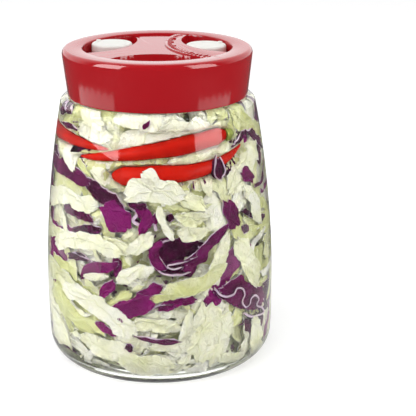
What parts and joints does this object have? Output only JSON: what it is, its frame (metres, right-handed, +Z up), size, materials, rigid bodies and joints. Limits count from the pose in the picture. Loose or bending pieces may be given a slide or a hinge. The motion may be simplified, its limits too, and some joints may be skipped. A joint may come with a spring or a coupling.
{
  "type": "fermentation jar",
  "caption": "Glass fermentation jar with a red grip lid and white vent plugs, packed with shredded cabbage and red chillies.",
  "frame": {"origin": "middle of the base, on the ring the jar stands on", "axes": "+Z up the jar's axis to the lid; -Y towards the front, where the lid's open finger recess is; +X to the right seen from the front"},
  "size_m": [0.125, 0.125, 0.1709],
  "materials": {
    "clear_glass": "gloss",
    "red_plastic": "satin gloss",
    "white_plastic": "matte",
    "cabbage": "moist, soft sheen",
    "chilli_skin": "glossy"
  },
  "bodies": {
    "root": {"jar_glass": "clear_glass", "lid": "red_plastic", "vent_plug_left": "white_plastic", "vent_plug_right": "white_plastic", "cabbage_heap": "cabbage", "chilli_left": "chilli_skin", "chilli_upper": "chilli_skin", "chilli_lower": "chilli_skin"}
  },
  "joints": []
}
